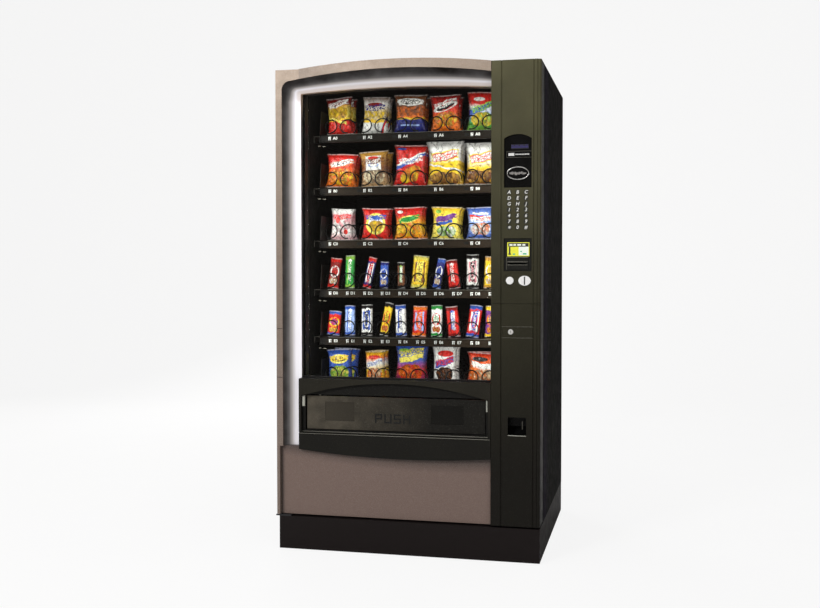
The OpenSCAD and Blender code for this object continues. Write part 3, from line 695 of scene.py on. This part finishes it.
# width, height, colour bands from bottom to top, printed shapes
CHIPS = {
    "a": [
        (114, 149, [(0, "R"), (.36, "R"), (.38, "Y"), (.55, "LY"), (.76, "GO"), (.78, "DR"), (1, "DR")],
         [("food", .5, .56, .42, .17, 0, "Y", "GO", 6), ("slash", .35, .4, .5, .03, -14, "LY"),
          ("ring", .5, .82, .38, .07, 8, "W")]),
        (118, 146, [(0, "W"), (.28, "W"), (.3, "Y"), (.5, "GO"), (.62, "C"), (.8, "W"), (1, "BR")],
         [("chips", .5, .5, .48, .13, 0, "Y", "C", 7), ("slash", .85, .2, .3, .035, 55, "N"),
          ("oval", .5, .78, .3, .055, 0, "DR"), ("slash", .8, .1, .3, .03, 55, "R")]),
        (137, 150, [(0, "N"), (.33, "N"), (.35, "Y"), (.38, "Y"), (.4, "O"), (.68, "BR"), (1, "BR")],
         [("chips", .5, .56, .49, .12, 0, "O", "BR", 8), ("oval", .5, .8, .4, .085, 0, "K"),
          ("ring", .5, .8, .42, .1, 0, "W"), ("box", .5, .2, .3, .02, 0, "LB")]),
        (126, 144, [(0, "O"), (.3, "O"), (.6, "R"), (1, "DR")],
         [("food", .5, .34, .42, .2, 0, "O", "Y", 7), ("slash", .5, .68, .42, .06, 12, "K"),
          ("ring", .5, .66, .44, .1, 12, "W")]),
        (122, 150, [(0, "LG"), (.2, "G"), (.4, "LB"), (.62, "W"), (.7, "R"), (1, "R")],
         [("food", .5, .3, .4, .18, 0, "Y", "LG", 6), ("slash", .5, .58, .5, .07, 15, "B"),
          ("oval", .4, .8, .2, .05, 0, "W")])],
    "b": [
        (136, 132, [(0, "O"), (.35, "O"), (.7, "R"), (1, "R")],
         [("food", .5, .32, .45, .24, 0, "O", "Y", 7), ("slash", .5, .7, .4, .05, 8, "K"),
          ("ring", .5, .7, .44, .09, 8, "O")]),
        (124, 140, [(0, "T"), (.5, "BR"), (1, "GO")],
         [("food", .5, .3, .4, .2, 0, "C", "BR", 6), ("box", .5, .66, .28, .2, 0, "W"),
          ("oval", .5, .8, .2, .05, 0, "R"), ("ring", .5, .6, .2, .06, 0, "LB")]),
        (138, 160, [(0, "R"), (1, "R")],
         [("food", .52, .28, .34, .18, 20, "O", "Y", 4), ("slash", .5, .6, .52, .045, 20, "B"),
          ("slash", .5, .66, .5, .02, 20, "W"), ("oval", .22, .9, .14, .03, 0, "B")]),
        (150, 170, [(0, "GO"), (.2, "Y"), (.52, "Y"), (.56, "W"), (1, "W")],
         [("food", .5, .16, .46, .14, 0, "GO", "BR", 7), ("slash", .5, .66, .42, .12, 6, "LY"),
          ("slash", .5, .66, .38, .095, 6, "R"), ("slash", .5, .4, .5, .02, -10, "W")]),
        (140, 162, [(0, "BR"), (.28, "GO"), (.4, "Y"), (.56, "W"), (1, "W")],
         [("chips", .5, .18, .5, .14, 0, "BR", "GO", 7), ("slash", .5, .64, .42, .12, 6, "LY"),
          ("slash", .5, .64, .38, .095, 6, "R")])],
    "c": [
        (96, 122, [(0, "P"), (.25, "W"), (.75, "P"), (.9, "W"), (1, "W")],
         [("food", .5, .5, .4, .3, 0, "W", "P", 5), ("oval", .32, .62, .1, .1, 0, "R"),
          ("oval", .7, .25, .1, .08, 0, "R")]),
        (120, 122, [(0, "R"), (1, "R")],
         [("oval", .5, .5, .34, .3, 0, "W"), ("food", .5, .42, .3, .2, 0, "Y", "GO", 6),
          ("oval", .5, .7, .2, .06, 0, "B"), ("ring", .5, .5, .38, .34, 0, "LY")]),
        (126, 125, [(0, "O"), (.35, "Y"), (.6, "O"), (.75, "R"), (1, "R")],
         [("food", .5, .3, .42, .22, 0, "Y", "O", 5), ("oval", .5, .62, .36, .11, 6, "LY"),
          ("oval", .5, .62, .3, .07, 6, "G"), ("oval", .2, .85, .1, .05, 0, "W")]),
        (126, 124, [(0, "LY"), (1, "Y")],
         [("slash", .5, .66, .34, .08, 10, "V"), ("slash", .45, .5, .3, .05, 10, "B"),
          ("food", .55, .24, .34, .16, 0, "LG", "W", 5), ("oval", .24, .84, .1, .06, 0, "LG")]),
        (118, 121, [(0, "B"), (.5, "LB"), (1, "B")],
         [("food", .5, .32, .38, .2, 0, "W", "O", 6), ("slash", .5, .66, .4, .07, -8, "R"),
          ("slash", .5, .8, .3, .03, -8, "W")])],
    "f": [
        (112, 130, [(0, "N"), (.4, "B"), (1, "B")],
         [("food", .5, .28, .4, .24, 0, "LG", "LY", 7), ("oval", .5, .7, .38, .14, 0, "LY"),
          ("oval", .5, .7, .3, .08, 0, "K")]),
        (86, 124, [(0, "O"), (.4, "Y"), (.6, "W"), (.8, "O"), (1, "Y")],
         [("food", .5, .3, .4, .2, 0, "O", "C", 6), ("slash", .5, .64, .4, .07, 10, "B"),
          ("oval", .5, .82, .3, .06, 0, "R")]),
        (134, 152, [(0, "N"), (.35, "R"), (.6, "B"), (1, "B")],
         [("food", .5, .3, .4, .22, 0, "O", "R", 5), ("slash", .5, .66, .42, .07, 8, "LY"),
          ("oval", .3, .85, .2, .05, 0, "LG")]),
        (100, 150, [(0, "W"), (1, "W")],
         [("food", .5, .28, .36, .18, 0, "K", "BR", 9), ("slash", .5, .58, .42, .09, 10, "B"),
          ("oval", .55, .8, .34, .08, 0, "R")]),
        (122, 126, [(0, "R"), (.5, "O"), (1, "R")],
         [("food", .5, .3, .42, .2, 0, "O", "C", 6), ("slash", .5, .62, .42, .07, -8, "W"),
          ("oval", .4, .8, .28, .07, 0, "K")])],
}
# height share, degrees and colour of each pack's row of marks
TITLES = {
    "a": [(0.83, 6, "W"), (0.7, 0, "N"), (0.8, 0, "W"), (0.76, 12, "W"), (0.6, 12, "LG")],
    "b": [(0.72, 10, "W"), (0.72, 0, "BR"), (0.62, 6, "W"), (0.66, 8, "W"), (0.64, 8, "W")],
    "c": [(0.74, 0, "R"), (0.7, 0, "B"), (0.62, 8, "G"), (0.64, 10, "V"), (0.62, 0, "W")],
    "f": [(0.74, 0, "Y"), (0.64, 8, "W"), (0.82, 8, "LY"), (0.6, 6, "R"), (0.58, -6, "W")],
}
# width, height, lean, base colour, edge colour, emblem colour
BARS = {
    "d": [(46, 120, 7, "DR", "R", "W"), (40, 130, 0, "G", "LG", "W"), (34, 124, 12, "N", "R", "W"),
          (36, 104, 2, "B", "N", "W"), (31, 102, -2, "BR", "K", "LG"), (62, 128, 5, "Y", "LY", "BR"),
          (34, 118, 11, "N", "B", "W"), (46, 112, -8, "R", "DR", "W"), (48, 132, 0, "W", "K", "P"),
          (52, 124, 3, "Y", "GO", "W")],
    "e": [(52, 96, 6, "R", "B", "Y"), (42, 118, 0, "LB", "B", "W"), (46, 122, 0, "W", "K", "B"),
          (34, 132, 10, "Y", "K", "R"), (44, 122, -3, "W", "B", "N"), (56, 118, 2, "R", "O", "LB"),
          (46, 122, 0, "W", "G", "R"), (48, 118, -6, "R", "DR", "B"), (50, 124, 8, "R", "B", "W"),
          (48, 120, 2, "V", "Y", "O")],
}


def place(mesh, x, d, z, lean, tilt, yaw):
    """Stands a pack at a point, leaning back, tilted sideways and turned, in degrees."""
    verts, faces, uvs = mesh
    m = (Matrix.Translation(at(x, d, z)) @ Matrix.Rotation(math.radians(yaw), 4, "Z")
         @ Matrix.Rotation(math.radians(lean), 4, "X") @ Matrix.Rotation(math.radians(tilt), 4, "Y"))
    return [m @ v for v in verts], faces, uvs


for tray in "abcf":
    rng = random.Random(40 + ord(tray))
    b = Batch()
    mats = []
    for n, (w, h, stops, layers) in enumerate(CHIPS[tray]):
        up, turn, ink = TITLES[tray][n]
        title = ("marks", .5, up, .40, .08, turn, ink)
        mats.append(film(f"film_{tray}{2 * n}", stops, layers + [title], PACK_GLOW[tray]))
        x = TRAY_L + (2 * n + 1) * STEP
        for deep in range(PACKS_DEEP):
            pack = pillow(w, h, PACK_THICK, rng, 0.14 if w > 100 else 0.1)
            d = COIL_FRONT + PACK_AT + deep * COIL_PITCH
            b.add(*place(pack, x + rng.uniform(-3, 3), d, FLOOR[tray] + 2.5, rng.uniform(-3, -1),
                         rng.uniform(-3.5, 3.5), rng.uniform(-6, 6)), mat=n)
    b.build(f"snack_packs_{tray}", mats, "cabinet")
for tray in CANDY:
    rng = random.Random(70 + ord(tray))
    b = Batch()
    mats = []
    for i, (w, h, tilt, base, edge, mark) in enumerate(BARS[tray]):
        stops = [(0, edge), (.1, edge), (.13, base), (.86, base), (.89, edge), (1, edge)]
        layers = [("slash", .5, .5, .33, .3, 0, mark), ("oval", .5, .5, .26, .24, 0, base),
                  ("slash", .5, .52, .1, .2, rng.uniform(-6, 6), mark)]
        layers.append(("marks", .5, .5, .34, .2, 90, edge if i % 3 == 2 else "W", 3.6))
        if i % 3 == 0:
            layers = [("oval", .5, .55, .4, .2, 0, mark), ("oval", .5, .55, .3, .13, 0, edge),
                      ("food", .5, .24, .35, .1, 0, mark, "GO", 9),
                      ("marks", .5, .55, .26, .24, 90, base)]
        if i % 3 == 1:
            layers = [("slash", .5, .55, .16, .32, -6, mark), ("slash", .3, .5, .05, .36, -6, edge),
                      ("marks", .56, .52, .3, .16, 90, base if mark == "W" else "W")]
        mats.append(film(f"film_{tray}{i}", stops, layers, PACK_GLOW[tray], 0.2))
        x = TRAY_L + (i + 0.5) * STEP
        pack = pillow(w, h, BAR_THICK if w < 60 else WIDE_BAR_THICK, rng, 0.0, 12, 26, 0.32)
        b.add(*place(pack, x + rng.uniform(-2, 2), COIL_FRONT + BAR_AT, FLOOR[tray] + 3, rng.uniform(-5, -1),
                     tilt, rng.uniform(-8, 8)), mat=i)
    b.build(f"snack_bars_{tray}", mats, "cabinet")


# ---------------------------------------------------------------- shelf labels

STRIP = limits("price_strips")[2] + 3.0
LABEL_DROP = 15.5
STOP_DROP = 46.0
# the blank tag beside each code: strokes as x and height limits from the tag's middle
TAG = ((-6, 5, 3.5, 6), (-5, -2, -6.5, 3), (-1, 4.5, -1.5, 0.8), (1, 3.5, -6.5, -1.5))
for tray in TRAYS:
    b = Batch()
    z = FLOOR[tray] - LABEL_DROP
    columns = range(10) if tray in CANDY else range(0, 10, 2)
    for i in columns:
        x = TRAY_L + (i + 0.62) * STEP
        for u0, u1, v0, v1 in TAG:
            b.add(*rounded_block(x + u0, x + u1, STRIP - 0.9, STRIP - 0.1, z + v0, z + v1, 0.2), mat=0)
        b.add(*text_mesh(f"{tray.upper()}{i}", 15.5, x + 22, STRIP - 0.3, z, 0.3, bold=0.12), mat=1)
        if tray not in CANDY and i:
            b.add(*rounded_block(x - 30, x - 12, STRIP - 0.3, STRIP + 0.7, z - 4.5, z + 5.5, 0.5), mat=2)
    # a pale line along the strip's top edge: a painted highlight where the edge catches the light
    b.add(*rounded_block(TRAY_L + 34, TRAY_R - 1, STRIP - 3.7, STRIP - 2.7,
                         FLOOR[tray] - 2.2, FLOOR[tray] - 0.4, 0.3), mat=3)
    b.build(f"shelf_labels_{tray}", [TAG_WHITE, INK_WHITE, M["bezel_plastic"], EDGE_GREY], "cabinet",
            False)
    b = Batch()
    b.add(*rounded_block(TRAY_L - 4, TRAY_L + 5, STRIP, STRIP + 5, FLOOR[tray] - STOP_DROP,
                         FLOOR[tray] - STOP_DROP + 3.5, 0.8))
    b.add(*rounded_block(TRAY_L + 14, TRAY_L + 26, STRIP, STRIP + 5, FLOOR[tray] - STOP_DROP - 1,
                         FLOOR[tray] - STOP_DROP + 1.5, 0.8))
    b.build(f"rail_stops_{tray}", [RAIL_GREY], "cabinet", False)

# ---------------------------------------------------------------- keypad

LEGENDS = {"star": "*", "hash": "#"}
for body in frame["bodies"]:
    if body.startswith("key_"):
        key = body[4:].replace("_body", "")
        x0, x1, d0, d1, z0, z1 = limits("key_" + key)
        mark = LEGENDS.get(key, key.upper())
        star = mark == "*"
        b = Batch()
        cx, cz = (x0 + x1) / 2, (z0 + z1) / 2
        b.add(*text_mesh(mark, 23 if star else 17, cx, d0 - 0.05, cz - (4.5 if star else 0), 0.14, 0.2, 0.3))
        b.build(f"legend_{key}", [INK_WHITE], body, False)
        soften("key_" + key, 0.5, 2)

# ---------------------------------------------------------------- details on the door

BADGE_X, BADGE_Z, BADGE_D = 49.3, 51.0, 0.7
BADGE_HALF, BADGE_WIRE = (38.6, 22.2), 1.9
BADGE_BARS, BADGE_SPAN = 13, 56
PLATE_L, PLATE_R, PLATE_LOW, PLATE_TOP = 9.1, 97.3, 107.2, 129.2


def blocks(name, mats, node, rows):
    """Small blocks on the door as one piece. A row holds the limits of x, depth and height from the node's
    left, front and foot, then the chamfer, all in millimetres, and the material's place in mats."""
    left, _, front, _, foot, _ = limits(node)
    b = Batch()
    for x0, x1, d0, d1, z0, z1, chamfer, mat in rows:
        block = rounded_block(left + x0, left + x1, front + d0, front + d1, foot + z0, foot + z1, chamfer)
        b.add(*block, mat=mat)
    b.build(name, mats, "door", False)


def badge_ring():
    """The oval ring on the display panel."""
    left, _, front, _, foot, _ = limits("display_panel")
    half_w, half_h = BADGE_HALF
    turns = [2 * math.pi * k / 72 for k in range(72)]
    points = [at(left + BADGE_X + half_w * math.cos(a), front + BADGE_D,
                 foot + BADGE_Z + half_h * math.sin(a)) for a in turns]
    b = Batch()
    b.add(*tube(points, BADGE_WIRE * MM, 10, True))
    b.build("badge_ring", [RING_SILVER], "door")


def badge_marks():
    """Plain upright bars of uneven height in the ring, crossed by one dark line."""
    rng = random.Random(5)
    rows = []
    for k in range(BADGE_BARS):
        x = BADGE_SPAN * (k / (BADGE_BARS - 1) - 0.5)
        half = 7.0 * math.sqrt(1 - (x / 34) ** 2)
        lo, hi = -half * rng.uniform(0.3, 1), half * rng.uniform(0.3, 1)
        x += BADGE_X
        rows.append((x - 1.3, x + 1.3, BADGE_D, BADGE_D + 1, BADGE_Z + lo, BADGE_Z + hi, 0.3, 0))
    rows.append((BADGE_X - 30, BADGE_X + 30, 1.1, 1.8, BADGE_Z - 1.0, BADGE_Z + 0.8, 0.3, 1))
    blocks("badge_marks", [MARK_GREY, INK_DARK], "display_panel", rows)


def display_bar():
    """The framed notice plate above the badge, with blank blocks for its print."""
    rows = [(PLATE_L, PLATE_R, 0.5, 1.8, z - 0.7, z + 0.7, 0.3, 0) for z in (PLATE_LOW, PLATE_TOP)]
    rows.append((PLATE_L - 0.6, PLATE_L + 0.7, 0.5, 1.8, PLATE_LOW, PLATE_TOP, 0.3, 0))
    rows.append((PLATE_L + 6, PLATE_L + 27, 1.7, 2.4, PLATE_LOW + 6, PLATE_TOP - 6, 0.3, 1))
    for k in range(9):
        u = PLATE_L + 31 + 5.6 * k
        rows.append((u, u + 4.2, 1.7, 2.4, PLATE_LOW + 9, PLATE_TOP - 9, 0.2, 1))
    blocks("display_bar", [EDGE_GREY, TAG_WHITE], "display_panel", rows)


def display_digits():
    """The blue display's field and its dim character cells."""
    rows = [(24.1, 87.1, 3.6, 3.95, 137.5, 154, 0.2, 1)]
    for k in range(14):
        u = 26.1 + 4.3 * k
        rows.append((u, u + 3.2, 3.3, 3.6, 141.5 + (k % 3) * 0.4, 146.5 - (k % 2) * 0.6, 0.1, 0))
        if k % 4 != 2:
            rows.append((u, u + 3.2, 3.3, 3.6, 149, 151.4, 0.1, 2))
    mats = [VFD_BLUE, glow("vfd_field", (0.002, 0.0015, 0.012), 0.02),
            glow("vfd_dim", (0.03, 0.022, 0.14), 0.3)]
    blocks("display_digits", mats, "display_panel", rows)


def note_label():
    """The note reader's label: a yellow field and a white one with a painted glow, a dark heading and blank
    marks.
    """
    yellow, white, dark, green = range(4)
    rows = [(12.2, 91.7, 1.4, 2.3, 53.0, 102.8, 0.3, yellow), (15.9, 88.9, 1.0, 1.5, 87.2, 100.2, 0.1, dark),
            (53.4, 88.9, 1.0, 1.5, 56.2, 87.2, 0.1, white)]
    for u0, u1 in ((20.4, 31.4), (34.4, 44.4), (48.4, 62.4), (66.4, 77.4)):
        rows.append((u0, u1, 0.7, 1.1, 90.7, 96.7, 0.1, white))
    rows += [(18.4, 23.9, 0.7, 1.1, 60.2, 86.2, 0.1, dark), (16.9, 25.4, 0.6, 1.0, 58.2, 63.2, 0.1, dark),
             (32.4, 40.4, 0.7, 1.1, 58.2, 63.2, 0.1, green), (68.4, 81.4, 0.7, 1.1, 59.2, 64.2, 0.1, green),
             (59.4, 65.4, 0.7, 1.1, 68.2, 72.2, 0.1, green)]
    mats = [glow("label_yellow", (0.80, 0.80, 0.06), 0.3), glow("label_white", (0.86, 0.92, 0.82), 0.3),
            INK_DARK, gloss("label_green", (0.10, 0.55, 0.30), 0.4, 0.05)]
    blocks("note_label", mats, "note_validator", rows)


badge_ring()
badge_marks()
display_bar()
display_digits()
note_label()
mouth = ((9.1, 88.4, 48.4, 50.2), (9.1, 10.9, 4.5, 50.2), (11.9, 85.4, 31.8, 34.0), (11.9, 85.4, 21.2, 22.8))
blocks("note_mouth_trim", [STEEL_LINE], "note_validator",
       [(x0, x1, -1.0, 0.3, z0, z1, 0.4, 0) for x0, x1, z0, z1 in mouth])
blocks("cup_lip", [LIGHT_GREY, EDGE_GREY], "coin_cup",
       [(5.0, 70.4, -0.4, 1.4, 5.2, 7.5, 0.5, 0), (53, 56.5, 25, 27, 26, 56, 0.6, 1)])
blocks("lock_plate_lines", [STEEL_LINE], "lock_cylinder",
       [(-23, 89, 1.3, 1.9, z - 0.4, z + 0.4, 0.1, 0) for z in (-12.0, 27.8)])
blocks("coin_slot_shade", [INK_DARK], "coin_insert", [(19.7, 24.3, -0.3, 0.5, 3, 32, 0.2, 0)])

# ---------------------------------------------------------------- back details


def dome(x, d, z, r, h, n=12):
    """A pan-head screw on a face that looks backwards, in millimetres."""
    verts = []
    for rr, dd in ((r, 0.0), (r * 0.92, h * 0.55), (r * 0.6, h * 0.9), (r * 0.2, h)):
        verts += [at(x + rr * math.cos(2 * math.pi * k / n), d + dd,
                     z + rr * math.sin(2 * math.pi * k / n)) for k in range(n)]
    faces = [(j * n + k, j * n + (k + 1) % n, (j + 1) * n + (k + 1) % n,
              (j + 1) * n + k) for j in range(3) for k in range(n)]
    return verts, [f[::-1] for f in faces] + [tuple(3 * n + k for k in range(n))[::-1], tuple(range(n))]


x0, x1, d0, d1, z0, z1 = limits("cabinet_shell")
b = Batch()
for z in range(int(z0) + 40, int(z1) - 20, 160):
    for x in (x0 + 18, x1 - 18):
        b.add(*dome(x, d1 - 0.2, z, 5.0, 2.6))
for x in (-320, -160, 0, 160, 320):
    for z in (z0 + 18, z1 - 18):
        b.add(*dome(x, d1 - 0.2, z, 5.0, 2.6))
b.build("back_screws", [STEEL_LINE], "cabinet", True, 40)

# ---------------------------------------------------------------- bezel and flap

# two pale strips along the bezel's ledge: painted highlights where its edges catch the light
blocks("ledge_line", [STEEL_LINE], "delivery_bezel",
       [(3.6, 725.6, 10.5, 13.6, 90.2, 92.4, 0.5, 0), (3.6, 725.6, -0.8, 0.4, 84.0, 85.4, 0.3, 0)])
blocks("flap_bearings", [LIGHT_GREY], "push_flap",
       [(-7, 3.5, -13.2, -7.0, 86, 126, 1.5, 0), (693.5, 700, -13.2, -7.0, 84, 126, 1.5, 0)])
blocks("stile_seams", [SEAM_DARK], "left_stile",
       [(0.5, 23, -0.25, 0.6, z - 0.9, z + 0.9, 0.1, 0) for z in (520, 704)])

# the push flap's raised word and sunken panels: the word's limits are from the flap's left edge
WORD_L, WORD_R = 260, 430
flap = NODES["push_flap"].data
# painted relief: the word's face darker, walls of word and panels a painted highlight, panel floors painted
# shade
flap.materials.append(paint("flap_letters", (0.006, 0.006, 0.005), 0.35, spec=0.3))
flap.materials.append(paint("flap_rims", (0.10, 0.092, 0.072), 0.4, spec=0.5))
flap.materials.append(grained("flap_recess", (0.0050, 0.0045, 0.0032), 0.5, 420.0, 0.6, spec=0.15,
                              tint=recess_painted_light))
fx0, fx1, fd0, fd1, fz0, fz1 = limits("push_flap")
for poly in flap.polygons:
    c = poly.center
    x, d, z = c.x / MM, (c.y - FRONT) / MM, c.z / MM
    inside = fx0 + 20 < x < fx1 - 20 and fz0 + 8 < z < fz1 - 8 and d < fd1 - 3
    if inside and abs(poly.normal.y) < 0.5:
        poly.material_index = 2
    elif inside and d < fd0 + 0.3 and poly.normal.y < -0.5 and WORD_L < x - fx0 < WORD_R and poly.area < 2e-3:
        poly.material_index = 1
    elif inside and fd0 + 1.8 < d < fd0 + 3 and poly.normal.y < -0.5:
        poly.material_index = 3

# ---------------------------------------------------------------- edges of the CAD parts

EDGE_ROUND = {"cabinet_shell": 2.5, "base_plinth": 2.5, "left_stile": 2.0, "header_trim": 2.0,
              "lower_panel": 1.2, "push_flap": 0.5, "coin_return_button": 1.2, "coin_insert": 0.8,
              "hinge_brackets": 0.8, "door_shell": 1.0, "price_strips": 0.3, "delivery_bezel": 1.2,
              "lock_cylinder": 0.5}
for node, width in EDGE_ROUND.items():
    soften(node, width)
for node in ("window_cove", "column_upper", "column_lower", "leveling_feet", "display_panel", "latch_cam"):
    smooth(node)

# ---------------------------------------------------------------- floor, light and camera

ROOM_LIGHT = 0.16
BACKDROP = 0.91
FLOOR_PALE = 0.88
WARM_ROOM = (1.0, 0.92, 0.84, 1)
CAMERA_LENS = 46.13
CAMERA_AT = (0.896, FRONT - 3.743, 1.062)
CAMERA_DOWN, CAMERA_ROLL, CAMERA_TURN = 1.915, 0.02, 13.12


def stage_floor():
    """A pale studio sweep that curves up behind the object."""
    verts, faces = [], []
    back, rise, radius = 5.0, 6.0, 1.6
    profile = [(-9.0, 0.0), (back - radius, 0.0)]
    for k in range(1, 13):
        a = math.pi / 2 * k / 12
        profile.append((back - radius + radius * math.sin(a), radius - radius * math.cos(a)))
    profile.append((back, rise))
    for y, z in profile:
        verts += [(-12, y, z), (12, y, z)]
    faces = [(2 * k, 2 * k + 1, 2 * k + 3, 2 * k + 2) for k in range(len(profile) - 1)]
    me = bpy.data.meshes.new("floor")
    me.from_pydata(verts, [], faces)
    for p in me.polygons:
        p.use_smooth = True
    m = Nodes("studio_floor")
    n = m.noise(m.coords(), 3.0, 3.0)
    shade = m.mix(m.span(n, 0.3, 0.7), (0.80, 0.80, 0.80), (0.84, 0.84, 0.84))
    lit = m.add("BsdfDiffuse", None, Color=shade).outputs[0]
    seen = m.add("LightPath").outputs["Is Camera Ray"]
    pale = m.add("Emission", None, Color=(1.0, 1.0, 1.0), Strength=seen).outputs[0]
    both = m.add("MixShader", None, i0=m.math("MULTIPLY", seen, FLOOR_PALE), i1=lit, i2=pale)
    m.tree.links.new(both.outputs[0], m.out.inputs[0])
    me.materials.append(m.mat)
    o = bpy.data.objects.new("floor", me)
    bpy.context.scene.collection.objects.link(o)


def area(name, place_at, aim, size, power, color=(1, 1, 1)):
    li = bpy.data.lights.new(name, "AREA")
    li.shape = "RECTANGLE"
    li.size, li.size_y = size
    li.energy = power
    li.color = color
    o = bpy.data.objects.new(name, li)
    o.location = place_at
    o.rotation_euler = (Vector(aim) - Vector(place_at)).to_track_quat("-Z", "Y").to_euler()
    o.visible_camera = False
    bpy.context.scene.collection.objects.link(o)


stage_floor()
area("key", (-1.9, -4.6, 3.5), (0, 0, 1.0), (1.2, 1.2), 135)
area("fill", (2.6, -4.2, 1.6), (0, 0, 0.9), (1.2, 1.6), 26)
area("top", (0, -0.6, 4.6), (0, 0, 0), (3, 3), 60)
area("rear", (-2.4, 3.9, 2.3), (0, 0.3, 0.9), (1.6, 1.6), 90)
area("goods_lamp", at(-40, 84, 1746), at(-40, 260, 1100), (0.66, 0.05), 1.5, (1.0, 0.97, 0.92))
for side, x in (("left", -395), ("right", 308)):
    area("goods_lamp_" + side, at(x, 84, 1180), at(-45, 240, 1180), (0.04, 1.0), 1.6, (1.0, 0.97, 0.92))

world = bpy.data.worlds.new("studio")
bpy.context.scene.world = world
world.use_nodes = True
tree = world.node_tree
seen = tree.nodes.new("ShaderNodeLightPath").outputs["Is Camera Ray"]
level = tree.nodes.new("ShaderNodeMapRange")
tree.links.new(seen, level.inputs[0])
level.inputs[3].default_value = ROOM_LIGHT
level.inputs[4].default_value = BACKDROP
tree.links.new(level.outputs[0], tree.nodes["Background"].inputs[1])
tone = tree.nodes.new("ShaderNodeMix")
tone.data_type = "RGBA"
tree.links.new(seen, tone.inputs[0])
tone.inputs[6].default_value = WARM_ROOM
tone.inputs[7].default_value = (1, 1, 1, 1)
tree.links.new(tone.outputs[2], tree.nodes["Background"].inputs[0])

cam = bpy.data.cameras.new("camera")
cam.sensor_width = 36.0
cam.lens = CAMERA_LENS
cam.clip_end = 60
rig = bpy.data.objects.new("camera", cam)
rig.location = CAMERA_AT
rig.rotation_mode = "XYZ"
rig.rotation_euler = [math.radians(a) for a in (90 - CAMERA_DOWN, CAMERA_ROLL, CAMERA_TURN)]
bpy.context.scene.collection.objects.link(rig)
bpy.context.scene.camera = rig
bpy.context.scene.view_settings.view_transform = "Standard"
